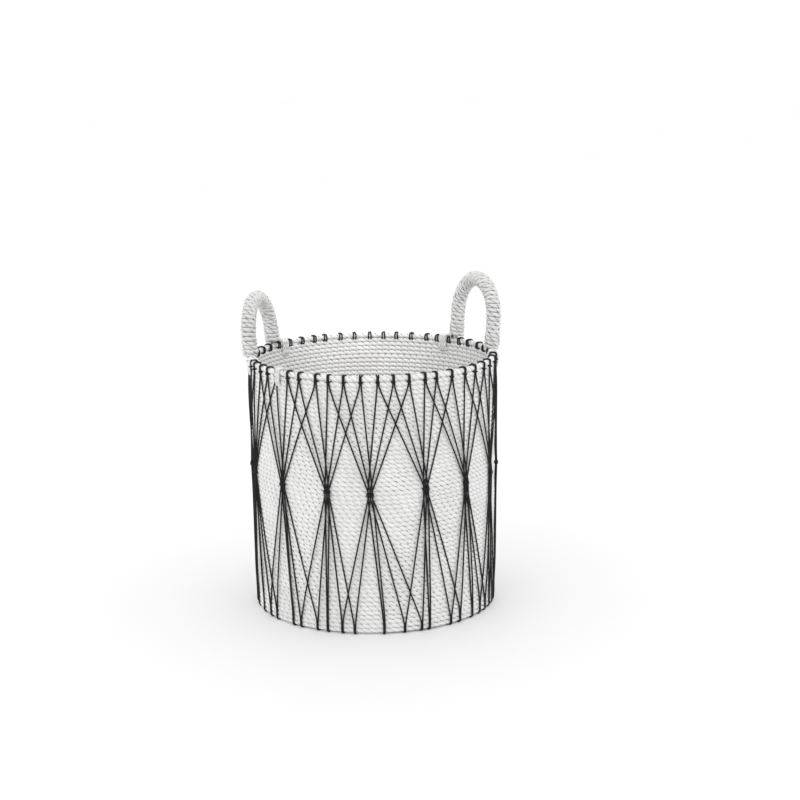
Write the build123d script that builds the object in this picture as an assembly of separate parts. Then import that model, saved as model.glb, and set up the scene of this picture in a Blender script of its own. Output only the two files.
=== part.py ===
from build123d import *
import math
import os

# Small woven laundry basket. Millimetres, +Z up, origin on the floor under the middle of the base.
# Angles are degrees round the basket: 0 is the front (-Y), positive turns towards +X.
# The frame is steel wire. White paper rope lies round it in courses, and black string laces the outside.

# Main sizes
rim_height = 336.2
wall_radius_bottom = 159.4
wall_radius_top = 162.2
wall_thickness = 6.0
clearance = 0.15

# Base
base_radius = 150.5
base_thickness = 7.5
course_radius = 3.0
base_course_height = 4.75

# Rim
rim_course_radius = 3.4
string_gap_under_rim = 1.8

# Steel wire frame
hoop_wire_radius = 1.5
upright_count = 8
upright_first_angle = 22.5
cross_wire_radius = 1.25
cross_wire_angle = 48.75
wire_room = 0.25

# Black lacing string
string_radius = 0.75
loop_count = 48
bundle_count = 16
loop_pitch = 360 / loop_count
bundle_pitch = 360 / bundle_count
bundle_first_angle = -7.5
bundle_height = 186.0
layer_step = 1.75
pair_half_gap = 0.85

# Ties that gather the strings
tie_wall = 0.9
tie_height = 4.4
slot_step = 2.0

# Handles
handle_near_angle = 90.0
handle_far_angle = 127.5
left_handle_top = 414.0
right_handle_top = 432.0
handle_overhang = 7.4
handle_radius = 9.5
handle_filler_radius = 5.4
handle_wire_radius = 2.0

# White rope stitches over the rim
stitch_radius = 1.7
stitch_step = 3.6
stitch_pierce_height = 315.5
handle_lashing_angles = {"near": 82.5, "far": 135.0}
splice_angle = -52.5


def wall_radius(height):
    """Outer radius of the wall, which widens a little towards the rim."""
    return wall_radius_bottom + (wall_radius_top - wall_radius_bottom) * height / rim_height


def mid_radius(height):
    return wall_radius(height) - wall_thickness / 2


def around(angle, radius, height, lateral=0.0):
    """Point at an angle and radius, moved sideways round the basket by lateral millimetres."""
    turn = math.radians(angle) + lateral / radius
    return Vector(radius * math.sin(turn), -radius * math.cos(turn), height)


string_over_rim = rim_course_radius + string_radius + clearance
rim_course_height = rim_height - string_over_rim - string_radius
wall_bottom = base_course_height + course_radius + clearance
wall_top = rim_course_height - rim_course_radius - string_gap_under_rim
base_hoop_radius = mid_radius(base_course_height)
rim_hoop_radius = mid_radius(rim_course_height)


def ring(radius, section, height):
    return Pos(0, 0, height) * Torus(radius, section)


def rod(start, end, radius):
    """Straight round bar between two points."""
    axis = end - start
    return extrude(Plane(origin=start, z_dir=axis) * Circle(radius), axis.length)


def round_bar(path, radius, hole=0.0):
    """Round bar or tube along a path."""
    section = Circle(radius)
    if hole:
        section = section - Circle(hole)
    return sweep(Plane(origin=path @ 0, z_dir=path % 0) * section, path)


# Wire frame


def upright(angle, radius, end_gap):
    """Upright bar, with its ends at a distance from the centres of the two hoops."""
    low = base_course_height + end_gap
    high = rim_course_height - end_gap
    start = around(angle, mid_radius(low), low)
    end = around(angle, mid_radius(high), high)
    return rod(start, end, radius)


def upright_wire(angle):
    return upright(angle, hoop_wire_radius, hoop_wire_radius + 0.05)


def upright_room(angle):
    return upright(angle, hoop_wire_radius + wire_room, 0)


upright_angles = [upright_first_angle + n * 360 / upright_count for n in range(upright_count)]

cross_wire_heights = {"lower": 3.2, "upper": 5.9}
cross_wire_angles = {"lower": cross_wire_angle, "upper": cross_wire_angle + 90}


def cross_bar(level, radius, end_gap):
    """Bar right across the base, with its ends at a distance from the centre of the hoop."""
    height = cross_wire_heights[level]
    angle = cross_wire_angles[level]
    reach = base_hoop_radius - end_gap
    return rod(around(angle, reach, height), around(angle + 180, reach, height), radius)


def cross_wire(level):
    return cross_bar(level, cross_wire_radius, hoop_wire_radius + 0.3)


def cross_wire_room(level):
    return cross_bar(level, cross_wire_radius + wire_room, 0)


# Handles


def handle_path(side):
    """Centre line of a handle: two legs from the rim hoop and a half circle between them."""
    near = around(side * handle_near_angle, rim_hoop_radius, rim_course_height)
    far = around(side * handle_far_angle, rim_hoop_radius, rim_course_height)
    chord = (far - near).normalized()
    outward = Vector(near.X + far.X, near.Y + far.Y, 0).normalized()
    top = right_handle_top if side > 0 else left_handle_top
    climb = top - handle_radius - rim_course_height
    up = (Vector(0, 0, climb) + outward * handle_overhang).normalized()
    half = (far - near).length / 2
    rise = math.hypot(climb, handle_overhang)
    straight = rise - half
    start = hoop_wire_radius + 0.1
    near_foot = near + up * start
    near_top = near + up * straight
    crown = near + chord * half + up * rise
    far_top = far + up * straight
    far_foot = far + up * start
    return Line(near_foot, near_top) + ThreePointArc(near_top, crown, far_top) + Line(far_top, far_foot)


def below(height):
    """Block that fills everything under a height, for trimming feet level."""
    return Pos(0, 0, height - 50) * Box(400, 400, 100)


def handle_wire(side):
    return round_bar(handle_path(side), handle_wire_radius)


filler_foot_height = 337.4
wrap_foot_height = 336.5
collar_radius = 5.8
collar_bottom = rim_course_height + rim_course_radius + clearance
foot_plate_radius = 7.5


def handle_filler(side):
    tube = round_bar(handle_path(side), handle_filler_radius, handle_wire_radius + 0.1)
    return tube - below(filler_foot_height)


def handle_foot(angle):
    """Last turns of the wrap, which narrow to sit on the rim between two string loops."""
    centre = around(angle, rim_hoop_radius, wrap_foot_height)
    plate = Pos(centre) * extrude(Circle(foot_plate_radius), 0.8)
    collar = Pos(centre) * extrude(Circle(collar_radius), collar_bottom - wrap_foot_height)
    return plate + collar


def handle_wrap(side):
    path = handle_path(side)
    tube = round_bar(path, handle_radius, handle_filler_radius + 0.1) - below(wrap_foot_height)
    for angle in (handle_near_angle, handle_far_angle):
        tube = tube + handle_foot(side * angle)
    return tube - round_bar(path, handle_wire_radius + 0.1)


# White rope stitches: closed loops over the rim course, down outside, and back through the wall


def stitch_loop(angle, lateral):
    reach = rim_course_radius + clearance + stitch_radius
    inner = rim_hoop_radius - reach
    outer = rim_hoop_radius + reach
    top = rim_course_height + reach
    corners = [(inner, stitch_pierce_height), (inner, top), (outer, top), (outer, stitch_pierce_height)]
    points = [around(angle, radius, height, lateral) for radius, height in corners]
    path = FilletPolyline(*points, radius=[2.0, 4.0, 4.0, 2.5], close=True)
    section = Plane(origin=path @ 0, z_dir=path % 0) * Circle(stitch_radius)
    return sweep(section, path)


def stitches(angle, count):
    """Separate parallel loops of one lashing."""
    middle = (count - 1) / 2
    return [stitch_loop(angle, (n - middle) * stitch_step) for n in range(count)]


def stitch_holes(angle, count):
    middle = (count - 1) / 2
    holes = []
    for n in range(count):
        lateral = (n - middle) * stitch_step
        start = around(angle, rim_hoop_radius - 12, stitch_pierce_height, lateral)
        end = around(angle, rim_hoop_radius + 12, stitch_pierce_height, lateral)
        holes.append(rod(start, end, stitch_radius + 0.1))
    return holes


lashings = {"rim_splice_lashing": (splice_angle, 2)}
for side_name, side in (("left", -1), ("right", 1)):
    for foot, foot_angle in handle_lashing_angles.items():
        lashings[f"handle_{side_name}_{foot}_lashing"] = (side * foot_angle, 3)


# White rope


def frame_room():
    """Space for the uprights, cross wires and handle wires inside the rope."""
    rods = [upright_room(angle) for angle in upright_angles]
    rods += [cross_wire_room(level) for level in cross_wire_heights]
    for side in (-1, 1):
        for angle in (handle_near_angle, handle_far_angle):
            foot = around(side * angle, rim_hoop_radius, rim_course_height)
            rods.append(rod(foot, foot + Vector(0, 0, 6), handle_wire_radius + 0.7))
    return rods


def wall_weave():
    height = wall_top - wall_bottom
    outside = Pos(0, 0, wall_bottom) * Solid.make_cone(wall_radius(wall_bottom), wall_radius(wall_top), height)
    inside_bottom = wall_radius(wall_bottom) - wall_thickness
    inside_top = wall_radius(wall_top) - wall_thickness
    inside = Pos(0, 0, wall_bottom) * Solid.make_cone(inside_bottom, inside_top, height)
    holes = []
    for angle, count in lashings.values():
        holes += stitch_holes(angle, count)
    return outside - inside - [upright_room(angle) for angle in upright_angles] - holes


def course(hoop_radius, section, height):
    """One round of rope, drawn with a sixteen-sided section, with room for the wires inside it."""
    hoop_room = RegularPolygon(hoop_wire_radius + wire_room, 8, major_radius=False)
    face = Plane.XZ * Pos(hoop_radius, height) * (RegularPolygon(section, 16) - hoop_room)
    return revolve(face, Axis.Z) - frame_room()


def base_weave():
    disc = extrude(Circle(base_radius), base_thickness)
    return disc - [cross_wire_room(level) for level in cross_wire_heights]


# Black lacing


def eased_radii(points, set_radii):
    """Fillet radius at each corner: as large as its runs allow, up to a limit, unless one is set."""
    radii = []
    for n in range(1, len(points) - 1):
        before = points[n] - points[n - 1]
        after = points[n + 1] - points[n]
        half_turn = math.radians(before.get_angle(after)) / 2
        shorter = min(before.length, after.length)
        eased = min(0.45 * shorter / math.tan(half_turn), largest_bend)
        radii.append(set_radii.get(n, eased))
    return radii


under_base = base_course_height - course_radius - string_radius - clearance
inside_base = base_hoop_radius - course_radius - string_radius - clearance
pair_height = 16.0
leg_height = 321.0
tie_half = tie_height / 2 + 0.4
lay_offset = string_radius + 0.3
tie_offset = clearance + tie_wall + string_radius
turn_lateral = 2.7
bar_offset = 1.75
hook_radius = 3.6
bar_corner_radius = 1.6
largest_bend = 200.0


def strand(bundle, slot, layer, base_angle, base_lateral, loop_angle, loop_lateral):
    """Points of one strand on the wall, from above its base pair to under its rim loop."""
    lifted = tie_offset + layer * layer_step
    resting = lay_offset + layer * layer_step
    points = []

    def add(angle, height, offset, lateral):
        points.append(around(angle, wall_radius(height) + offset, height, lateral))

    def between(start, end, share):
        return start + (end - start) * share

    slot_lateral = slot * slot_step
    low_tie = bundle_height - tie_half
    high_tie = bundle_height + tie_half
    add(base_angle, pair_height, lay_offset, base_lateral)
    for share in (0.78, 0.54, 0.27):
        angle = between(bundle, base_angle, share)
        lateral = between(slot_lateral, base_lateral, share)
        add(angle, between(low_tie, pair_height, share), resting, lateral)
    add(bundle, low_tie, lifted, slot_lateral)
    add(bundle, high_tie, lifted, slot_lateral)
    for share in (0.27, 0.54, 0.78):
        angle = between(bundle, loop_angle, share)
        lateral = between(slot_lateral, loop_lateral, share)
        add(angle, between(high_tie, leg_height, share), resting, lateral)
    add(loop_angle, leg_height, lay_offset, loop_lateral)
    return points


def base_hook(angle, lateral):
    """End of a string: down, under the base course and up inside it."""
    outside = wall_radius(pair_height) + lay_offset
    return [
        around(angle, inside_base, base_course_height + 0.3, lateral),
        around(angle, inside_base, under_base, lateral),
        around(angle, outside, under_base, lateral),
    ]


def rim_turn(angle, side):
    """Half of the hitch on the rim: over the rim course, back under it and out to the bar."""
    over_top = rim_course_height + string_over_rim
    back_under = rim_course_height - string_over_rim
    outside = rim_hoop_radius + string_over_rim
    inside = rim_hoop_radius - string_over_rim
    return [
        around(angle, outside, over_top, side * pair_half_gap),
        around(angle, inside, over_top, side * turn_lateral),
        around(angle, inside, back_under, side * turn_lateral),
        around(angle, outside + bar_offset, back_under, side * turn_lateral),
    ]


def lacing_string(pitches):
    """One string: from the base through two neighbouring ties, hitched over the rim between them."""
    loop = pitches * loop_pitch
    left_base = loop - loop_pitch / 2
    right_base = loop + loop_pitch / 2
    left = strand(0, pitches - 1.5, 0, left_base, -pair_half_gap, loop, -pair_half_gap)
    right = strand(bundle_pitch, pitches - 1.5, 1, right_base, pair_half_gap, loop, pair_half_gap)
    left = base_hook(left_base, -pair_half_gap) + left + rim_turn(loop, -1)
    right = base_hook(right_base, pair_half_gap) + right + rim_turn(loop, 1)
    points = left + right[::-1]
    last = len(points) - 1
    half = len(left)
    set_radii = {1: hook_radius, 2: hook_radius, last - 1: hook_radius, last - 2: hook_radius}
    for n in (half - 4, half - 3, half - 2, half + 1, half + 2, half + 3):
        set_radii[n] = hook_radius
    for n in (half - 1, half):
        set_radii[n] = bar_corner_radius
    radii = eased_radii(points, set_radii)
    path = FilletPolyline(*points, radius=radii)
    string = round_bar(path, string_radius)
    length = path.length
    share = string.volume / (math.pi * string_radius**2 * length)
    print(f"string {pitches}: {length:.0f} mm long, tightest {min(radii):.1f}, volume share {share:.3f}")
    return string


def bundle_tie():
    """Turns of string round one bundle, as a closed sleeve lying on the wall."""
    inner_low = tie_offset - string_radius - 0.05
    inner_high = tie_offset + layer_step + string_radius + 0.05
    half_width = slot_step + string_radius + 0.25
    middle = wall_radius(bundle_height) + (inner_low + inner_high) / 2
    depth = inner_high - inner_low
    outer = Rectangle(2 * (half_width + tie_wall), depth + 2 * tie_wall)
    outer = fillet(outer.vertices(), 1.2)
    inner = Rectangle(2 * half_width, depth)
    sleeve = extrude(outer - inner, tie_height)
    return Pos(0, -middle, bundle_height - tie_height / 2) * sleeve


# Write one file for each node

os.makedirs("parts", exist_ok=True)


def save(shape, node):
    export_step(shape, f"parts/{node}.step")


save(base_weave(), "base_weave")
save(course(base_hoop_radius, course_radius, base_course_height), "base_course")
save(ring(base_hoop_radius, hoop_wire_radius, base_course_height), "base_hoop")
for level in cross_wire_heights:
    save(cross_wire(level), f"base_cross_wire_{level}")
save(wall_weave(), "wall_weave")
for n, angle in enumerate(upright_angles, start=1):
    save(upright_wire(angle), f"upright_wire_{n}")
save(ring(rim_hoop_radius, hoop_wire_radius, rim_course_height), "rim_hoop")
save(course(rim_hoop_radius, rim_course_radius, rim_course_height), "rim_course")

for side_name, side in (("left", -1), ("right", 1)):
    save(handle_wire(side), f"handle_{side_name}_wire")
    save(handle_filler(side), f"handle_{side_name}_filler")
    save(handle_wrap(side), f"handle_{side_name}_wrap")

for node, (angle, count) in lashings.items():
    save(Compound(children=stitches(angle, count)), node)

tie = bundle_tie()
strings = [lacing_string(pitches) for pitches in (0.5, 1.5, 2.5)]
for n in range(bundle_count):
    turn = Rot(0, 0, bundle_first_angle + n * bundle_pitch)
    save(Compound(children=[turn * string for string in strings]), f"lacing_strings_{n + 1:02d}")
    save(turn * tie, f"bundle_tie_{n + 1:02d}")
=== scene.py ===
# %% [markdown]
# # A small woven basket, laced with black string
#
# The basket is white paper rope laid in rounds on a wire frame. Black string is hitched over the rim,
# gathered into sixteen bundles half way down and hooked under the bottom edge. Two arched handles stand
# on the rim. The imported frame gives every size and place, so it is loaded first and its box is kept.

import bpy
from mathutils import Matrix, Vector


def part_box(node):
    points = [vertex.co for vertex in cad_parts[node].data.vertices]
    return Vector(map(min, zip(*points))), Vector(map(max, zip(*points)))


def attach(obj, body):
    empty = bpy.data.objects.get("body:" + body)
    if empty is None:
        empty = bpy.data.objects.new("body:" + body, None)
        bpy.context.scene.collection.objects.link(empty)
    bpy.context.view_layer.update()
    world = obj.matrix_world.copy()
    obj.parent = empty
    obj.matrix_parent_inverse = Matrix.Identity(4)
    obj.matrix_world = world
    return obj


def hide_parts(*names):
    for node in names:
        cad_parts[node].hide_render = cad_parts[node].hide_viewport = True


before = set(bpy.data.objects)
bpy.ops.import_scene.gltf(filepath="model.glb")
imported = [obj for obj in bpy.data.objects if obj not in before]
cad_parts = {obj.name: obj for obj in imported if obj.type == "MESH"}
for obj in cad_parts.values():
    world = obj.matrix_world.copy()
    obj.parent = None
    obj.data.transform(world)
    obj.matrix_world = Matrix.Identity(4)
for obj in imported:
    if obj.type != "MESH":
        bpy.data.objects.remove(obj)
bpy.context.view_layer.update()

# %% Tools of the trade
import math
import random

import bpy
import numpy as np
from mathutils import Matrix, Vector

MM = 0.001
BODY = "root"
chance = random.Random(12)

# %% [markdown]
# Sizes come from the frame. A round part's middle radius and height are read from its box. The wall
# widens a little from the base to the rim, so its radius is a straight line between the two.

# %% Sizes read from the frame
def ring_size(node):
    low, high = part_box(node)
    return (high.x - low.x) / 2, (low.z + high.z) / 2


rim_hoop_outer, rim_height = ring_size("rim_hoop")
base_hoop_outer, base_height = ring_size("base_hoop")
HOOP_WIRE = (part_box("rim_hoop")[1].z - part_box("rim_hoop")[0].z) / 2
rim_radius = rim_hoop_outer - HOOP_WIRE
base_radius = base_hoop_outer - HOOP_WIRE
rope_radius = 2.95 * MM
wall_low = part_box("wall_weave")[0].z
wall_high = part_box("wall_weave")[1].z


def mid_radius(height):
    """Radius of the middle of the wall at a height."""
    share = (height - base_height) / (rim_height - base_height)
    return base_radius + (rim_radius - base_radius) * share


def wall_face(height):
    """Radius of the outside of the wall at a height."""
    return mid_radius(height) + rope_radius


def around(angle, radius, height, lateral=0.0):
    """Point round the basket: 0 degrees is the front (-Y), and positive turns towards +X."""
    turn = math.radians(angle) + lateral / radius
    return Vector((radius * math.sin(turn), -radius * math.cos(turn), height))


print("rim radius", round(rim_radius, 4), "wall from", round(wall_low, 4), "to", round(wall_high, 4))

# %% [markdown]
# Most operators act on whatever is selected, and the loaded nodes are still selected. These helpers keep
# that in hand: one object is picked, a modifier is added and applied, and a finished piece is put on its
# body with its finish.

# %% Helpers for picking, applying and finishing
def deselect():
    bpy.ops.object.select_all(action="DESELECT")


def only(piece):
    deselect()
    piece.select_set(True)
    bpy.context.view_layer.objects.active = piece


def modify(piece, kind, **settings):
    """Add one modifier, set it and apply it."""
    only(piece)
    modifier = piece.modifiers.new(kind, kind)
    for name, value in settings.items():
        setattr(modifier, name, value)
    bpy.ops.object.modifier_apply(modifier=modifier.name)


def copy_of(piece, name):
    copy = piece.copy()
    copy.data = piece.data.copy()
    copy.name = name
    bpy.context.scene.collection.objects.link(copy)
    return copy


def join(pieces, name):
    deselect()
    for piece in pieces:
        piece.select_set(True)
    bpy.context.view_layer.objects.active = pieces[0]
    bpy.ops.object.join()
    joined = bpy.context.view_layer.objects.active
    joined.name = name
    return joined


def merge_doubles(piece, distance):
    only(piece)
    bpy.ops.object.mode_set(mode="EDIT")
    bpy.ops.mesh.select_all(action="SELECT")
    bpy.ops.mesh.remove_doubles(threshold=distance)
    bpy.ops.mesh.normals_make_consistent(inside=False)
    bpy.ops.object.mode_set(mode="OBJECT")


def finish_piece(piece, material, slot, *nodes):
    """Give a piece its material, put it on the basket and let it stand for its nodes."""
    only(piece)
    bpy.ops.object.shade_smooth()
    piece.data.materials.clear()
    piece.data.materials.append(material)
    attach(piece, BODY)
    if nodes:
        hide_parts(*nodes)
    return piece


def points_of(mesh):
    table = np.empty(len(mesh.vertices) * 3)
    mesh.vertices.foreach_get("co", table)
    return table.reshape(-1, 3)


def set_points(mesh, table):
    mesh.vertices.foreach_set("co", table.ravel())
    mesh.update()


# %% [markdown]
# Shader sums read best as plain Python, so one small class wraps a socket and turns +, - and * into Math
# nodes. Every other node comes from one method, which sets its options first and then its inputs.

# %% A small language for shaders
class Wire:
    """One output socket, with sums that add Math nodes."""

    def __init__(self, shader, socket):
        self.shader = shader
        self.socket = socket

    def sum(self, operation, other, swap=False):
        pair = [other, self] if swap else [self, other]
        return self.shader.node("ShaderNodeMath", {"operation": operation}, {0: pair[0], 1: pair[1]})

    def __add__(self, other):
        return self.sum("ADD", other)

    def __sub__(self, other):
        return self.sum("SUBTRACT", other)

    def __mul__(self, other):
        return self.sum("MULTIPLY", other)

    def __radd__(self, other):
        return self.sum("ADD", other, True)

    def __rsub__(self, other):
        return self.sum("SUBTRACT", other, True)

    def __rmul__(self, other):
        return self.sum("MULTIPLY", other, True)


class Shader:
    """One material and its nodes."""

    def __init__(self, name):
        self.material = bpy.data.materials.new(name)
        self.material.use_nodes = True
        self.nodes = self.material.node_tree.nodes
        self.links = self.material.node_tree.links
        self.surface = self.nodes["Principled BSDF"]

    def put(self, socket, value):
        if isinstance(value, Wire):
            self.links.new(value.socket, socket)
        else:
            socket.default_value = value

    def node(self, kind, settings=None, inputs=None, output=0):
        node = self.nodes.new(kind)
        for name, value in (settings or {}).items():
            setattr(node, name, value)
        for name, value in (inputs or {}).items():
            self.put(node.inputs[name], value)
        return Wire(self, node.outputs[output])

    def set(self, **values):
        for name, value in values.items():
            self.put(self.surface.inputs[name.replace("_", " ")], value)

    def attribute(self, name):
        return self.node("ShaderNodeAttribute", {"attribute_name": name}, output="Vector")

    def object_place(self):
        return self.node("ShaderNodeTexCoord", output="Object")

    def stretched(self, vector, scale):
        return self.node("ShaderNodeVectorMath", {"operation": "MULTIPLY"}, {0: vector, 1: scale})

    def noise(self, vector, scale, detail=3.0):
        return self.node("ShaderNodeTexNoise", None, {"Vector": vector, "Scale": scale, "Detail": detail})

    def parts(self, vector):
        node = self.nodes.new("ShaderNodeSeparateXYZ")
        self.put(node.inputs[0], vector)
        return [Wire(self, socket) for socket in node.outputs]

    def between(self, value, low, high):
        """0 under low, 1 over high and smooth between."""
        settings = {"interpolation_type": "SMOOTHSTEP"}
        return self.node("ShaderNodeMapRange", settings, {"Value": value, "From Min": low, "From Max": high})

    def mix(self, factor, first, second):
        node = self.nodes.new("ShaderNodeMix")
        node.data_type = "RGBA"
        self.put(node.inputs[0], factor)
        self.put(node.inputs[6], first)
        self.put(node.inputs[7], second)
        return Wire(self, node.outputs[2])

    def bump(self, height, distance, strength):
        inputs = {"Height": height, "Distance": distance, "Strength": strength}
        return self.node("ShaderNodeBump", None, inputs)


# %% [markdown]
# The rope is two strips of white paper, each twisted into a cord, laid round each other. Close up it
# shows fine creases that run along each cord. Painted shade greys the groove between the two cords a
# little, and a short band of dark painted shade lies where that groove meets the next round. The rope
# meshes carry two attributes. "laid" is the place in the rope before it was twisted, so creases that
# are drawn straight there follow the twist. "seam" holds how near a point is to the next round, from 0
# on the open face to 1 where the two touch, how deep it lies, with 1 on the round of the rope and less
# in the groove, and whether it looks into the basket. The painted shade between rounds is darkest
# inside, and comes and goes in patches outside. The handles' rope has the same finish, painted a little
# darker all over as shade.

# %% White paper rope
# The handles' rope is the same rope, painted this much darker all over as painted shade.
WINDING_PAINTED_SHADE = 0.87


def grey(level, warmth=0.005):
    return level + warmth, level, level - warmth, 1


# shade darkens every grey of the finish; the handles' copy uses it as painted shade.
def make_rope_material(name, shade=1.0):
    shader = Shader(name)
    laid = shader.attribute("laid")
    seam, depth, inward = shader.parts(shader.attribute("seam"))
    place = shader.object_place()
    creases = shader.noise(shader.stretched(laid, (80, 700, 700)), 1.0, 4.0)
    flecks = shader.noise(place, 700.0, 2.0)
    patches = shader.noise(place, 26.0, 2.0)
    # Painted shade: the groove between the two cords is painted greyer than the open face.
    open_face = shader.between(depth, 0.72, 0.93)
    # Painted shade: a dark band where the groove meets the next round, darkest inside and in patches
    # outside.
    gap_shade = (1.0 - shader.between(depth, 0.80, 0.92)) * shader.between(seam, 0.45, 0.85)
    loose = 0.35 + 0.65 * shader.between(shader.noise(place, 15.0, 3.0), 0.48, 0.62)
    gap_shade = gap_shade * (loose + shader.between(inward, 0.0, 0.5) * (1.0 - loose))
    pale = shader.mix(shader.between(patches, 0.35, 0.65), grey(0.815 * shade), grey(0.88 * shade))
    creased = shader.mix(shader.between(creases, 0.30, 0.58), grey(0.732 * shade), pale)
    # grey 0.61 is painted shade in the groove between the cords.
    groove_shaded = shader.mix(open_face, grey(0.61 * shade), creased)
    # The near-black grey 0.098 is the painted shade between rounds.
    colour = shader.mix(gap_shade, groove_shaded, grey(0.098))
    normal = shader.bump(creases * 0.8 + flecks * 0.2, 0.35 * MM, 0.55)
    shader.set(Base_Color=colour, Normal=normal, Roughness=0.82)
    shader.set(Sheen_Weight=0.12, Specular_IOR_Level=0.35)
    return shader.material


rope_finish = make_rope_material("white_paper_rope")
# The handles' copy is darker by painted shade.
winding_shaded_finish = make_rope_material("handle_rope_painted_shade", WINDING_PAINTED_SHADE)
print("rope finishes:", rope_finish.name, "and", winding_shaded_finish.name)

# %% [markdown]
# The lacing string is hard black two-ply string with a little wax on it. Its meshes carry "wound": the
# length along the string and the direction round it. Turning that direction as the length grows gives
# the slanted plies, as painted shade in the groove between them and as a bump.

# %% Black waxed string
STRING_LAY = 3.2 * MM


def make_string_material():
    shader = Shader("black_waxed_string")
    wound = shader.attribute("wound")
    along, side, up = shader.parts(wound)
    turn = along * (math.tau / STRING_LAY)
    cosine = shader.node("ShaderNodeMath", {"operation": "COSINE"}, {0: turn})
    sine = shader.node("ShaderNodeMath", {"operation": "SINE"}, {0: turn})
    facing = side * cosine + up * sine
    ply = facing * facing
    fuzz = shader.noise(shader.object_place(), 900.0, 3.0)
    # The darker colour in the groove between the plies is painted shade.
    colour = shader.mix(ply, (0.008, 0.0078, 0.008, 1), (0.026, 0.025, 0.0255, 1))
    normal = shader.bump(ply * 0.8 + fuzz * 0.35, 0.25 * MM, 0.8)
    shader.set(Base_Color=colour, Normal=normal, Roughness=0.55 + fuzz * 0.2)
    shader.set(Specular_IOR_Level=0.2)
    return shader.material


string_finish = make_string_material()
print("string finish:", string_finish.name, "with plies", round(STRING_LAY / MM, 1), "mm long")

# %% [markdown]
# The wire frame is plain drawn steel, hidden in the rope. Light streaks change its colour and roughness.
# Every node of the frame then gets its finish, so a node that no piece stands for has one too.

# %% Drawn steel wire
def make_wire_material():
    shader = Shader("drawn_steel_wire")
    streaks = shader.noise(shader.stretched(shader.object_place(), (900, 900, 120)), 1.0, 2.0)
    colour = shader.mix(streaks, (0.42, 0.42, 0.43, 1), (0.60, 0.60, 0.61, 1))
    shader.set(Base_Color=colour, Metallic=1.0, Roughness=0.3 + streaks * 0.25)
    return shader.material


wire_finish = make_wire_material()

for node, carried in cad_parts.items():
    carried.data.materials.clear()
    if node.startswith(("lacing", "bundle")):
        carried.data.materials.append(string_finish)
    elif node.endswith("_hoop") or "wire" in node:
        carried.data.materials.append(wire_finish)
    else:
        carried.data.materials.append(rope_finish)
print(len(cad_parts), "nodes of the frame have a finish")

# %% [markdown]
# ## The rope itself
#
# A rope could be a smooth tube with a twist painted on, but its edge would be straight. Here it is made
# as it is laid: a circle is pinched on two sides, which leaves the two cords, and the Screw modifier
# draws it along half a turn. Half a turn of a two-cord rope ends as it began, so an Array repeats it.

# %% Lay a straight length of rope
GROOVE_SHARE = 0.72
ROPE_SIDES = 12
ROPE_STEPS = 5
NEARLY_ALL = 0.999


def pinched_circle(radius, sides):
    """Section of the rope: a circle whose two opposite corners are pulled in to make the groove."""
    deselect()
    bpy.ops.mesh.primitive_circle_add(vertices=sides, radius=radius, rotation=(0, math.pi / 2, 0))
    section = bpy.context.active_object
    bpy.ops.object.transform_apply(rotation=True)
    reach = max(vertex.co.z for vertex in section.data.vertices)
    bpy.ops.object.mode_set(mode="EDIT")
    bpy.ops.mesh.select_all(action="DESELECT")
    bpy.ops.object.mode_set(mode="OBJECT")
    for vertex in section.data.vertices:
        vertex.select = abs(vertex.co.z) > reach * NEARLY_ALL
    bpy.ops.object.mode_set(mode="EDIT")
    bpy.ops.transform.resize(value=(1, 1, GROOVE_SHARE))
    bpy.ops.object.mode_set(mode="OBJECT")
    return section


def note_lay(rope, half_lay):
    """Write each point's place before twisting into the attribute that the rope's finish reads."""
    table = points_of(rope.data)
    turn = -math.pi * table[:, 0] / half_lay
    laid = table.copy()
    laid[:, 1] = table[:, 1] * np.cos(turn) - table[:, 2] * np.sin(turn)
    laid[:, 2] = table[:, 1] * np.sin(turn) + table[:, 2] * np.cos(turn)
    attribute = rope.data.attributes.new("laid", "FLOAT_VECTOR", "POINT")
    attribute.data.foreach_set("vector", laid.ravel())
    depth = np.hypot(table[:, 1], table[:, 2])
    seam = np.zeros_like(table)
    seam[:, 0] = np.abs(table[:, 2]) / depth
    seam[:, 1] = depth / depth.max()
    seam[:, 2] = table[:, 1] / depth
    attribute = rope.data.attributes.new("seam", "FLOAT_VECTOR", "POINT")
    attribute.data.foreach_set("vector", seam.ravel())


def straight_rope(name, radius, half_lay, count):
    """Rope along X, starting at 0, with a number of half turns."""
    rope = pinched_circle(radius, ROPE_SIDES)
    steps = ROPE_STEPS
    modify(rope, "SCREW", axis="X", angle=math.pi, screw_offset=half_lay, steps=steps, render_steps=steps)
    modify(rope, "ARRAY", count=count, use_relative_offset=False, use_constant_offset=True,
           constant_offset_displace=(half_lay, 0, 0), use_merge_vertices=True, merge_threshold=1e-5)
    note_lay(rope, half_lay)
    rope.name = name
    return rope


ROUND_HALF_LAYS = 108
wall_half_lay = math.tau * mid_radius(wall_high / 2) / ROUND_HALF_LAYS
round_rope = straight_rope("round_rope", rope_radius, wall_half_lay, ROUND_HALF_LAYS)
print("half turn", round(wall_half_lay / MM, 2), "mm,", len(round_rope.data.polygons), "faces a round")

# %% [markdown]
# ## Rounds
#
# A straight rope becomes a round with Simple Deform: bent by a whole turn, its ends meet. Hand work is
# never quite level, so each round then gets a slow wave up and down and in and out. The wave drifts from
# one round to the next, so neighbours stay nearly parallel, as they do on a real wall.

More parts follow.
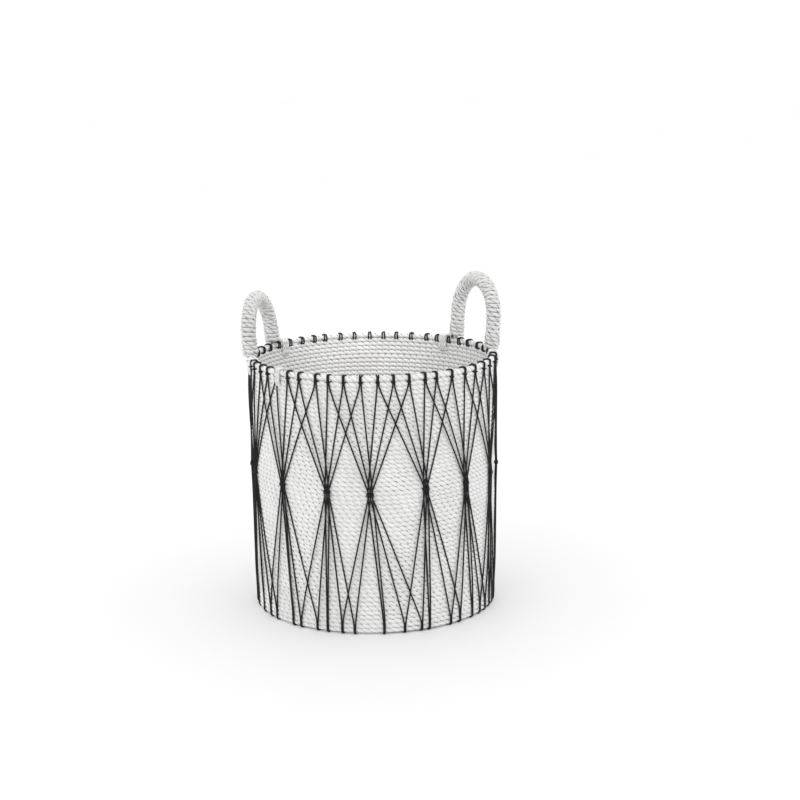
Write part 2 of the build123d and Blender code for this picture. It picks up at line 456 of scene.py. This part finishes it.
# %% Bend the rope into rounds
def bent_round(rope, name, radius, height, start, section=1.0, tall=1.0):
    """One closed round. start turns its join round the basket. section fattens the rope, and tall
    makes it higher than it is thick, as rounds are that press on each other."""
    piece = copy_of(rope, name)
    length = max(vertex.co.x for vertex in rope.data.vertices)
    table = points_of(piece.data)
    table[:, 0] = (table[:, 0] - length / 2) * math.tau * radius / length
    table[:, 1] *= section
    table[:, 2] *= section * tall
    set_points(piece.data, table)
    modify(piece, "SIMPLE_DEFORM", deform_method="BEND", deform_axis="Z", angle=math.tau)
    turn = Matrix.Rotation(math.radians(start), 4, "Z")
    piece.data.transform(turn @ Matrix.Translation((0, -radius, height)))
    return piece


def wave(piece, phase, lift, swell):
    """Slow unevenness round one round of rope."""
    table = points_of(piece.data)
    angle = np.arctan2(table[:, 0], -table[:, 1])
    slow = np.sin(3 * angle + phase) + 0.6 * np.sin(7 * angle + 2.1 * phase)
    other = np.sin(4 * angle + 1.7 * phase) + 0.7 * np.sin(9 * angle - phase)
    radius = np.hypot(table[:, 0], table[:, 1])
    grow = 1 + swell * other / radius
    table[:, 0] *= grow
    table[:, 1] *= grow
    table[:, 2] += lift * slow
    set_points(piece.data, table)


WALL_ROUNDS = 55
ROUNDS_IN_A_PIECE = 11
ROUND_TALL = 1.14
THINNEST, FATTEST = 0.98, 1.03
WAVE_DRIFT = 0.22
WAVE_LIFT = 0.28 * MM
WAVE_SWELL = 0.25 * MM
JOIN_DISTANCE = 0.02 * MM
RIM_ROOM = 4.0 * MM
wall_top_edge = rim_height - RIM_ROOM
wall_pitch = (wall_top_edge - wall_low) / WALL_ROUNDS
wall_rounds = []
for n in range(WALL_ROUNDS):
    height = wall_low + (n + 0.5) * wall_pitch
    fatness = chance.uniform(THINNEST, FATTEST)
    start = chance.uniform(0, 360)
    piece = bent_round(round_rope, f"round_{n}", mid_radius(height), height, start, fatness, ROUND_TALL)
    wave(piece, WAVE_DRIFT * n, WAVE_LIFT, WAVE_SWELL)
    wall_rounds.append(piece)

for first in range(0, WALL_ROUNDS, ROUNDS_IN_A_PIECE):
    group = wall_rounds[first:first + ROUNDS_IN_A_PIECE]
    number = first // ROUNDS_IN_A_PIECE + 1
    wall_piece = join(group, f"wall_rope_{number}")
    merge_doubles(wall_piece, JOIN_DISTANCE)
    finish_piece(wall_piece, rope_finish, "white_rope", "wall_weave")
print(WALL_ROUNDS, "rounds on the wall,", round(wall_pitch / MM, 2), "mm apart")

# %% [markdown]
# The rim's round is a little thicker than the wall's, because it covers the hoop, and so is the bottom
# edge's. Both are the same rope with a fatter section.

# %% Rim and bottom edge
RIM_FATNESS = 3.55 / 2.95
RIM_START = 40
RIM_WAVE = 0.2 * MM
RIM_PHASE = 3.0
EDGE_FATNESS = 1.02
EDGE_START = 200
EDGE_LIFT = 0.2 * MM
rim_round = bent_round(round_rope, "rim_rope", rim_radius, rim_height, RIM_START, RIM_FATNESS)
wave(rim_round, RIM_PHASE, RIM_WAVE, RIM_WAVE)
merge_doubles(rim_round, JOIN_DISTANCE)
finish_piece(rim_round, rope_finish, "white_rope", "rim_course")

edge_height = base_height + EDGE_LIFT
base_round = bent_round(round_rope, "bottom_edge_rope", base_radius, edge_height, EDGE_START, EDGE_FATNESS)
merge_doubles(base_round, JOIN_DISTANCE)
finish_piece(base_round, rope_finish, "white_rope", "base_course")
print("rim rope", round(2 * rope_radius * RIM_FATNESS / MM, 2), "mm thick")

# %% [markdown]
# ## The base
#
# The base is a flat coil: one long rope wound from the edge to the middle. A Curve modifier carries the
# straight rope along a spiral, so the cords stay round all the way, where a flat disc would show nothing
# from above but paint. The coil is then drawn a little taller, so that it hides the wires in the base.

# %% Rope along a path
def path_curve(name, points):
    """A path of straight steps, close enough together to read as a curve."""
    curve = bpy.data.curves.new(name, "CURVE")
    curve.dimensions = "3D"
    curve.twist_mode = "MINIMUM"
    spline = curve.splines.new("POLY")
    spline.points.add(len(points) - 1)
    for place, point in zip(spline.points, points):
        place.co = (*point, 1)
    path = bpy.data.objects.new(name, curve)
    bpy.context.scene.collection.objects.link(path)
    return path


def path_length(points):
    return sum((after - before).length for before, after in zip(points, points[1:]))


def rope_along(name, points, radius, half_lay):
    """Rope laid along a list of points."""
    length = path_length(points)
    count = max(2, round(length / half_lay))
    rope = straight_rope(name, radius, half_lay, count)
    table = points_of(rope.data)
    table[:, 0] *= length / (count * half_lay)
    set_points(rope.data, table)
    path = path_curve(name + "_path", points)
    modify(rope, "CURVE", object=path, deform_axis="POS_X")
    bpy.data.objects.remove(path)
    return rope


# %% Coil the base
BASE_STEPS_A_TURN = 72
BASE_TALL = 1.25
COIL_INSET = 0.3 * MM
COIL_PITCH = 5.75 * MM
COIL_EYE = 4 * MM
base_low, base_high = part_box("base_weave")
coil_outer = base_high.x - COIL_INSET
coil_turns = (coil_outer - COIL_EYE) / COIL_PITCH
coil_height = (base_low.z + base_high.z) / 2
coil_points = []
for n in range(int(coil_turns * BASE_STEPS_A_TURN)):
    angle = n * 360 / BASE_STEPS_A_TURN
    coil_points.append(around(angle, coil_outer - COIL_PITCH * angle / 360, coil_height))
base_coil = rope_along("base_coil", coil_points, rope_radius, wall_half_lay)
coil_table = points_of(base_coil.data)
coil_table[:, 2] = coil_height + (coil_table[:, 2] - coil_height) * BASE_TALL
set_points(base_coil.data, coil_table)
finish_piece(base_coil, rope_finish, "white_rope", "base_weave")
print("base coil", round(path_length(coil_points), 2), "m of rope")

# %% [markdown]
# ## Handles
#
# Each handle is a wire arch, packed out with cord and wound closely with thinner rope. The winding is
# what shows, so its path is a helix: the arch's middle line gives the place and direction at each step,
# and the path goes round it once every few millimetres. The turns widen towards the feet, and the last
# turn at each foot draws in on the rim. Each handle's height is that of its own node.

# %% Wind the handles
HANDLE_NEAR = 90.0
HANDLE_FAR = 127.5
HANDLE_OVERHANG = 7.4 * MM
WINDING_RADIUS = 2.75 * MM
WINDING_REACH = 7.5 * MM
FOOT_TURNS = 5
WINDING_PITCH = 5.3 * MM
WINDING_STEPS = 20
HANDLE_RADIUS = 9.5 * MM
FOOT_ABOVE_RIM = 5.4 * MM
FOOT_DRAW_IN = 0.3
DRAW_IN_TURNS = 0.8
FOOT_SPREAD = 0.16


def handle_line(side, top, count):
    """Points and directions along a handle's middle line, evenly spaced, and the arch's flat direction."""
    near = around(side * HANDLE_NEAR, rim_radius, rim_height)
    far = around(side * HANDLE_FAR, rim_radius, rim_height)
    chord = (far - near).normalized()
    outward = Vector((near.x + far.x, near.y + far.y, 0)).normalized()
    climb = top - HANDLE_RADIUS - rim_height
    up = (Vector((0, 0, climb)) + outward * HANDLE_OVERHANG).normalized()
    half = (far - near).length / 2
    rise = math.hypot(climb, HANDLE_OVERHANG)
    straight = rise - half
    leg = straight - FOOT_ABOVE_RIM
    total = 2 * leg + math.pi * half
    middle = near + chord * half + up * straight
    line = []
    for n in range(count):
        walked = total * n / (count - 1)
        if walked < leg:
            line.append((near + up * (FOOT_ABOVE_RIM + walked), up))
        elif walked > total - leg:
            line.append((far + up * (FOOT_ABOVE_RIM + total - walked), -up))
        else:
            angle = (walked - leg) / half
            place = middle - chord * half * math.cos(angle) + up * half * math.sin(angle)
            line.append((place, chord * math.sin(angle) + up * math.cos(angle)))
    return line, chord.cross(up).normalized(), total


def wind_handle(side, top, name):
    """Rope wound round a handle, wider towards the feet, with the last turn of each foot drawn in."""
    flat, total = handle_line(side, top, 2)[1:]
    turns = total / WINDING_PITCH
    count = int(turns * WINDING_STEPS)
    line = handle_line(side, top, count)[0]
    points = []
    for n, (place, along) in enumerate(line):
        turn = math.tau * turns * n / count
        ends = min(n, count - 1 - n) / WINDING_STEPS
        draw_in = 1 - FOOT_DRAW_IN * max(0.0, 1 - ends / DRAW_IN_TURNS) ** 2
        spread = 1 + FOOT_SPREAD * max(0.0, 1 - ends / FOOT_TURNS)
        loose = 1 + 0.03 * math.sin(0.37 * turn + side) + 0.02 * math.sin(1.9 * turn)
        reach = WINDING_REACH * draw_in * spread * loose
        across = flat.cross(along)
        points.append(place + (flat * math.cos(turn) + across * math.sin(turn)) * reach)
    winding = rope_along(name, points, WINDING_RADIUS, wall_half_lay)
    print(name, round(turns), "turns,", round(path_length(points), 2), "m of rope")
    return winding


for side, word in ((-1, "left"), (1, "right")):
    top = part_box(f"handle_{word}_wrap")[1].z
    winding = wind_handle(side, top, f"handle_{word}_winding")
    finish_piece(winding, winding_shaded_finish, "white_rope", f"handle_{word}_wrap")

# %% [markdown]
# ## Black lacing
#
# A string is one curve from end to end. It hooks under the bottom edge, climbs to a bundle, goes on to
# the rim, turns over it in a hitch with a bar across the front, and comes down again through the next
# bundle. Strands that lean right lie on the wall, and strands that lean left lie over them. Nothing is
# evenly spaced on hand work. The shifts, in degrees, are how far each bundle, hitch and hook is from its
# even place: all are drawn at random, and those at the front and sides then take the values listed.

# %% Where the strings go
STRING_RADIUS = 0.97 * MM
LOOPS = 48
BUNDLES = 16
LOOP_PITCH = 360 / LOOPS
BUNDLE_PITCH = 360 / BUNDLES
FIRST_BUNDLE = -7.5
BUNDLE_HEIGHT = (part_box("bundle_tie_01")[0].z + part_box("bundle_tie_01")[1].z) / 2
SLOT_STEP = 2.5 * MM
SLOT_STAGGER = 0.6 * MM
LAYER_STEP = 1.45 * MM
REST = 0.75 * MM
TIE_LIFT = 1.5 * MM
PAIR_HALF_GAP = 0.85 * MM

bundle_shift = [chance.uniform(-1.2, 1.2) for n in range(BUNDLES)]
bundle_shift[0:4] = [0.0, 2.8, 2.7, 2.9]
bundle_shift[13:16] = [-3.0, 1.1, 3.0]
bundle_lift = [chance.uniform(-2.0, 2.0) * MM for n in range(BUNDLES)]
loop_shift = [chance.uniform(-1.3, 1.3) for n in range(LOOPS)]
loop_shift[0:11] = [0.3, -0.3, -0.8, -0.8, -2.7, -1.8, -1.3, -1.3, -0.8, -1.3, 1.3]
loop_shift[37:48] = [5.2, 4.2, 4.2, 3.2, 2.3, 2.3, 1.2, 2.3, 0.8, 0.3, 0.3]
base_shift = [chance.uniform(-0.9, 0.9) for n in range(LOOPS)]
base_shift[0:11] = [5.5, 7.5, 8.2, 4.6, 8.8, 7.0, 8.4, 7.6, 5.8, 3.9, 2.0]
base_shift[39:48] = [2.2, 2.4, 0.5, 5.0, 2.2, 3.8, 1.6, 1.2, -0.5]
print(LOOPS, "hitches,", BUNDLES, "bundles at", round(BUNDLE_HEIGHT, 4))


def bundle_angle(bundle):
    return FIRST_BUNDLE + bundle * BUNDLE_PITCH + bundle_shift[bundle % BUNDLES]


def loop_angle(loop):
    """Angle of a loop. Loop 0 is half a pitch to the right of bundle 0."""
    return FIRST_BUNDLE + (loop + 0.5) * LOOP_PITCH + loop_shift[loop % LOOPS]


def base_angle(base):
    return FIRST_BUNDLE + base * LOOP_PITCH + base_shift[base % LOOPS]


# %% The points of one string
PAIR_HEIGHT = 15 * MM
LEG_HEIGHT = rim_height - 9.5 * MM
OVER_RIM = 4.45 * MM
HOOK_REACH = 3.7 * MM
HITCH_HALF_WIDTH = 1.85 * MM
BAR_STAND = 1.7 * MM
TIE_HALF = 2.0 * MM
BEND_NEAR_TIE = 0.035


def blend(start, end, share):
    return start + (end - start) * share


def strand_points(bundle, slot, layer, base, side, loop):
    """One strand, from its hook under the bottom edge to the hitch on the rim."""
    bundle_at = bundle_angle(bundle)
    base_at = base_angle(base)
    loop_at = loop_angle(loop)
    height = BUNDLE_HEIGHT + bundle_lift[bundle % BUNDLES]
    slot_lateral = slot * SLOT_STEP + side * SLOT_STAGGER
    pair_lateral = side * PAIR_HALF_GAP
    lifted = TIE_LIFT + layer * LAYER_STEP
    resting = REST + layer * LAYER_STEP
    under = base_height - HOOK_REACH
    outside = wall_face(PAIR_HEIGHT) + REST
    points = [
        around(base_at, base_radius - HOOK_REACH, base_height - 0.8 * MM, pair_lateral),
        around(base_at, base_radius - HOOK_REACH, under, pair_lateral),
        around(base_at, outside, under, pair_lateral),
        around(base_at, outside, PAIR_HEIGHT * 0.6, pair_lateral),
    ]

    def add(angle, at, offset, lateral):
        points.append(around(angle, wall_face(at) + offset, at, lateral))

    pair_top = PAIR_HEIGHT + chance.uniform(-5, 6) * MM
    add(base_at, pair_top, REST, pair_lateral)
    for share in (0.8, 0.55, 0.3, 0.12, BEND_NEAR_TIE):
        at = blend(height - TIE_HALF, pair_top, share)
        offset = blend(lifted, resting, min(1, share * 6))
        add(blend(bundle_at, base_at, share), at, offset, blend(slot_lateral, pair_lateral, share))
    add(bundle_at, height - TIE_HALF, lifted, slot_lateral)
    add(bundle_at, height + TIE_HALF, lifted, slot_lateral)
    for share in (BEND_NEAR_TIE, 0.12, 0.3, 0.55, 0.8):
        at = blend(height + TIE_HALF, LEG_HEIGHT, share)
        offset = blend(lifted, resting, min(1, share * 6))
        add(blend(bundle_at, loop_at, share), at, offset, blend(slot_lateral, pair_lateral, share))
    add(loop_at, LEG_HEIGHT, REST, pair_lateral)
    over = rim_height + OVER_RIM
    back = rim_height - OVER_RIM
    outer = rim_radius + OVER_RIM
    inner = rim_radius - OVER_RIM
    wide = side * HITCH_HALF_WIDTH
    points += [
        around(loop_at, outer, rim_height, pair_lateral),
        around(loop_at, outer, over, pair_lateral),
        around(loop_at, inner, over, wide * 0.8),
        around(loop_at, inner, rim_height, wide),
        around(loop_at, inner, back, wide),
        around(loop_at, rim_radius, back, wide),
        around(loop_at, outer + BAR_STAND, back, wide),
    ]
    return points


def string_points(bundle, loop_in_bundle):
    """Both strands of one string, joined by the bar of its hitch."""
    loop = 3 * bundle + loop_in_bundle
    slot = loop_in_bundle - 1
    left = strand_points(bundle, slot, 0, loop, -1, loop)
    right = strand_points(bundle + 1, slot, 1, loop + 1, 1, loop)
    return left + right[::-1]


# %% [markdown]
# The string curve is a NURBS of order three, which rounds each corner of its route by itself. Its round
# section has eight sides. It is made a mesh so that each point can carry how far along the string it is,
# which the slanted plies of its finish need.

# %% Make a string
STRING_SIDES = 8


def string_mesh(name, points, radius):
    curve = bpy.data.curves.new(name, "CURVE")
    curve.dimensions = "3D"
    curve.bevel_depth = radius
    curve.bevel_resolution = STRING_SIDES // 2 - 2
    curve.use_fill_caps = True
    curve.resolution_u = 4
    spline = curve.splines.new("NURBS")
    spline.points.add(len(points) - 1)
    for place, point in zip(spline.points, points):
        place.co = (*point, 1)
    spline.order_u = 3
    spline.use_endpoint_u = True
    piece = bpy.data.objects.new(name, curve)
    bpy.context.scene.collection.objects.link(piece)
    only(piece)
    bpy.ops.object.convert(target="MESH")
    piece = bpy.context.active_object
    note_winding(piece)
    return piece


def note_winding(piece):
    """Write the length along the string, and the direction round it, on each point."""
    table = points_of(piece.data)
    rows = len(table) // STRING_SIDES
    middles = table[:rows * STRING_SIDES].reshape(rows, STRING_SIDES, 3).mean(axis=1)
    steps = np.linalg.norm(np.diff(middles, axis=0), axis=1)
    along = np.concatenate([[0], np.cumsum(steps)])
    turn = math.tau * np.arange(STRING_SIDES) / STRING_SIDES
    wound = np.zeros((len(table), 3))
    wound[:rows * STRING_SIDES, 0] = np.repeat(along, STRING_SIDES)
    wound[:rows * STRING_SIDES, 1] = np.tile(np.cos(turn), rows)
    wound[:rows * STRING_SIDES, 2] = np.tile(np.sin(turn), rows)
    attribute = piece.data.attributes.new("wound", "FLOAT_VECTOR", "POINT")
    attribute.data.foreach_set("vector", wound.ravel())
    piece["string_length"] = float(along[-1])


# %% Lace the basket
string_lengths = []
for bundle in range(BUNDLES):
    strings = []
    for loop_in_bundle in range(3):
        name = f"string_{bundle + 1:02d}_{loop_in_bundle + 1}"
        string = string_mesh(name, string_points(bundle, loop_in_bundle), STRING_RADIUS)
        string_lengths.append(string["string_length"])
        strings.append(string)
    laced = join(strings, f"laced_strings_{bundle + 1:02d}")
    finish_piece(laced, string_finish, "black_string", f"lacing_strings_{bundle + 1:02d}")
print("string lengths", round(min(string_lengths), 3), "to", round(max(string_lengths), 3), "m")

# %% [markdown]
# Each bundle is bound with a few tight turns of the same string. One binding is made at the front and
# copied to the sixteen bundles, each copy turned about the middle of the basket.

# %% Bind the bundles
TIE_TURNS = 2.6
TIE_STEPS = 14
TIE_RADIUS = 0.7 * MM
TIE_PITCH = 1.35 * MM
TIE_SLACK = 0.1 * MM
TIE_OFF_WALL = 0.25 * MM
TIE_CORNERS = 0.12
tie_half_width = SLOT_STEP + SLOT_STAGGER + STRING_RADIUS
tie_half_depth = (TIE_LIFT + LAYER_STEP + STRING_RADIUS) / 2 + TIE_SLACK


def tie_points():
    """A helix round the six strands of the front bundle, pushed out at its four corners."""
    points = []
    for n in range(int(TIE_TURNS * TIE_STEPS) + 1):
        turn = math.tau * n / TIE_STEPS
        square = 1 + TIE_CORNERS - TIE_CORNERS * math.cos(4 * turn)
        lateral = tie_half_width * square * math.cos(turn)
        depth = tie_half_depth * (1 + math.sin(turn) * square) + TIE_OFF_WALL
        height = BUNDLE_HEIGHT + (n / TIE_STEPS - TIE_TURNS / 2) * TIE_PITCH
        points.append(around(0, wall_face(BUNDLE_HEIGHT) + depth, height, lateral))
    return points


first_tie = string_mesh("first_tie", tie_points(), TIE_RADIUS)
for bundle in range(BUNDLES):
    tie = copy_of(first_tie, f"binding_{bundle + 1:02d}")
    turn = Matrix.Rotation(math.radians(bundle_angle(bundle)), 4, "Z")
    tie.data.transform(Matrix.Translation((0, 0, bundle_lift[bundle])) @ turn)
    finish_piece(tie, string_finish, "black_string", f"bundle_tie_{bundle + 1:02d}")
print("each binding takes", round(first_tie["string_length"], 3), "m of string")
bpy.data.objects.remove(first_tie)

# %% [markdown]
# ## White stitches over the rim
#
# Beside each handle foot, and once at the front left where the rim's rope begins, a thinner rope is
# stitched over the rim and through the wall. Each stitch is a closed loop of rope with rounded corners.

# %% Stitch the rim
STITCH_RADIUS = 1.9 * MM
STITCH_STEP = 3.9 * MM
STITCH_PIERCE = rim_height - 15.7 * MM
STITCH_CORNER_STEPS = 6
STITCH_CORNER = 4 * MM
STITCH_HALF_LAY = 7.5 * MM
STITCH_REACH = 3.75 * MM + STITCH_RADIUS * 0.9
SPLICE_ANGLE = -52.5
SPLICE_STITCHES = 2
NEAR_LASHING = 82.5
FAR_LASHING = 135.0
LASHING_STITCHES = 3


def rounded_loop(inner, outer, low, high, corner):
    """Radius and height of points round a rounded rectangle."""
    corners = [(outer - corner, high - corner, 0), (inner + corner, high - corner, 90),
               (inner + corner, low + corner, 180), (outer - corner, low + corner, 270)]
    loop = []
    for radius, height, start in corners:
        for n in range(STITCH_CORNER_STEPS + 1):
            turn = math.radians(start + 90 * n / STITCH_CORNER_STEPS)
            loop.append((radius + corner * math.cos(turn), height + corner * math.sin(turn)))
    return loop + loop[:1]


def stitch(name, angle, lateral):
    inner, outer = rim_radius - STITCH_REACH, rim_radius + STITCH_REACH
    loop = rounded_loop(inner, outer, STITCH_PIERCE, rim_height + STITCH_REACH, STITCH_CORNER)
    points = [around(angle, radius, height, lateral) for radius, height in loop]
    return rope_along(name, points, STITCH_RADIUS, STITCH_HALF_LAY)


def lash(node, angle, count):
    loops = []
    for n in range(count):
        lateral = (n - (count - 1) / 2) * STITCH_STEP
        loops.append(stitch(f"{node}_loop_{n}", angle, lateral))
    lashing = join(loops, f"{node}_rope")
    finish_piece(lashing, rope_finish, "white_rope", node)


lash("rim_splice_lashing", SPLICE_ANGLE, SPLICE_STITCHES)
for side, word in ((-1, "left"), (1, "right")):
    lash(f"handle_{word}_near_lashing", side * NEAR_LASHING, LASHING_STITCHES)
    lash(f"handle_{word}_far_lashing", side * FAR_LASHING, LASHING_STITCHES)
print("stitches over the rim:", SPLICE_STITCHES + 4 * LASHING_STITCHES)

# %% [markdown]
# ## Floor, light and camera
#
# A plain pale floor and broad soft lights show the rope's relief without hard shadows.

# %% Floor
FLOOR_SIZE = 40.0
FLOOR_DROP = 0.05 * MM
deselect()
bpy.ops.mesh.primitive_plane_add(size=FLOOR_SIZE, location=(0, 0, -FLOOR_DROP))
floor = bpy.context.active_object
floor.name = "floor"
floor_shader = Shader("pale_floor")
floor_grain = floor_shader.noise(floor_shader.object_place(), 3.0, 2.0)
floor_colour = floor_shader.mix(floor_grain, (0.93, 0.93, 0.93, 1), (0.945, 0.945, 0.945, 1))
floor_shader.set(Base_Color=floor_colour, Roughness=0.9)
floor.data.materials.append(floor_shader.material)

# %% Broad light
SKY_STRENGTH = 1.06
world = bpy.data.worlds.new("soft_studio")
world.use_nodes = True
world.node_tree.nodes["Background"].inputs["Color"].default_value = (1, 1, 1, 1)
world.node_tree.nodes["Background"].inputs["Strength"].default_value = SKY_STRENGTH
bpy.context.scene.world = world
bpy.context.scene.view_settings.view_transform = "Standard"


def soft_light(name, place, aim, size, power):
    deselect()
    bpy.ops.object.light_add(type="AREA", location=place)
    light = bpy.context.active_object
    light.name = name
    light.rotation_euler = (Vector(aim) - Vector(place)).to_track_quat("-Z", "Y").to_euler()
    light.data.size = size
    light.data.energy = power


aim = (0, 0, 0.2)
soft_light("key", (-1.4, -1.9, 2.2), aim, 1.6, 5)
soft_light("fill", (2.2, -1.2, 1.2), aim, 1.8, 2)
soft_light("back", (0.4, 2.2, 2.0), aim, 1.6, 3)
print("broad lights: key, fill and back")

# %% [markdown]
# A narrow light from high in front reaches the inside, which the wall shades from the broad ones.

# %% Light for the inside
INSIDE_POWER = 36
INSIDE_CONE = math.radians(12)
INSIDE_BLEND = 0.6
INSIDE_SOFTNESS = 0.1
inside_place = Vector((0.0, -1.0, 1.3))
inside_aim = Vector((0.0, 0.155, 0.30))
deselect()
bpy.ops.object.light_add(type="SPOT", location=inside_place)
inside_light = bpy.context.active_object
inside_light.name = "inside"
inside_light.rotation_euler = (inside_aim - inside_place).to_track_quat("-Z", "Y").to_euler()
inside_light.data.energy = INSIDE_POWER
inside_light.data.spot_size = INSIDE_CONE
inside_light.data.spot_blend = INSIDE_BLEND
inside_light.data.shadow_soft_size = INSIDE_SOFTNESS
print("inside light", INSIDE_POWER, "W")

# %% [markdown]
# The camera looks down a little on the front of the basket, from a little to its left.

# %% Camera
CAMERA_TURN = -6.5
CAMERA_RAISE = math.radians(11.93)
CAMERA_ROLL = math.radians(-0.70)
CAMERA_DISTANCE = 2.314
CAMERA_LENS = 78.42
SENSOR_WIDTH = 36.0
TARGET_SIDE = 0.0358
TARGET_HEIGHT = 0.2708
turned = Matrix.Rotation(math.radians(CAMERA_TURN), 3, "Z")
target = turned @ Vector((TARGET_SIDE, 0, TARGET_HEIGHT))
backward = turned @ Vector((0, -math.cos(CAMERA_RAISE), math.sin(CAMERA_RAISE)))
level = turned @ Vector((1, 0, 0))
upright = backward.cross(level)
right = level * math.cos(CAMERA_ROLL) + upright * math.sin(CAMERA_ROLL)
upward = backward.cross(right)
deselect()
bpy.ops.object.camera_add(location=target + backward * CAMERA_DISTANCE)
camera = bpy.context.active_object
camera.rotation_euler = Matrix((right, upward, backward)).transposed().to_euler()
camera.data.lens = CAMERA_LENS
camera.data.sensor_width = SENSOR_WIDTH
bpy.context.scene.camera = camera
print("camera at", [round(value, 3) for value in camera.location])

# %% [markdown]
# The straight rope that every round was bent from isn't part of the basket, so it goes.

# %% Remove the straight rope
bpy.data.objects.remove(round_rope)
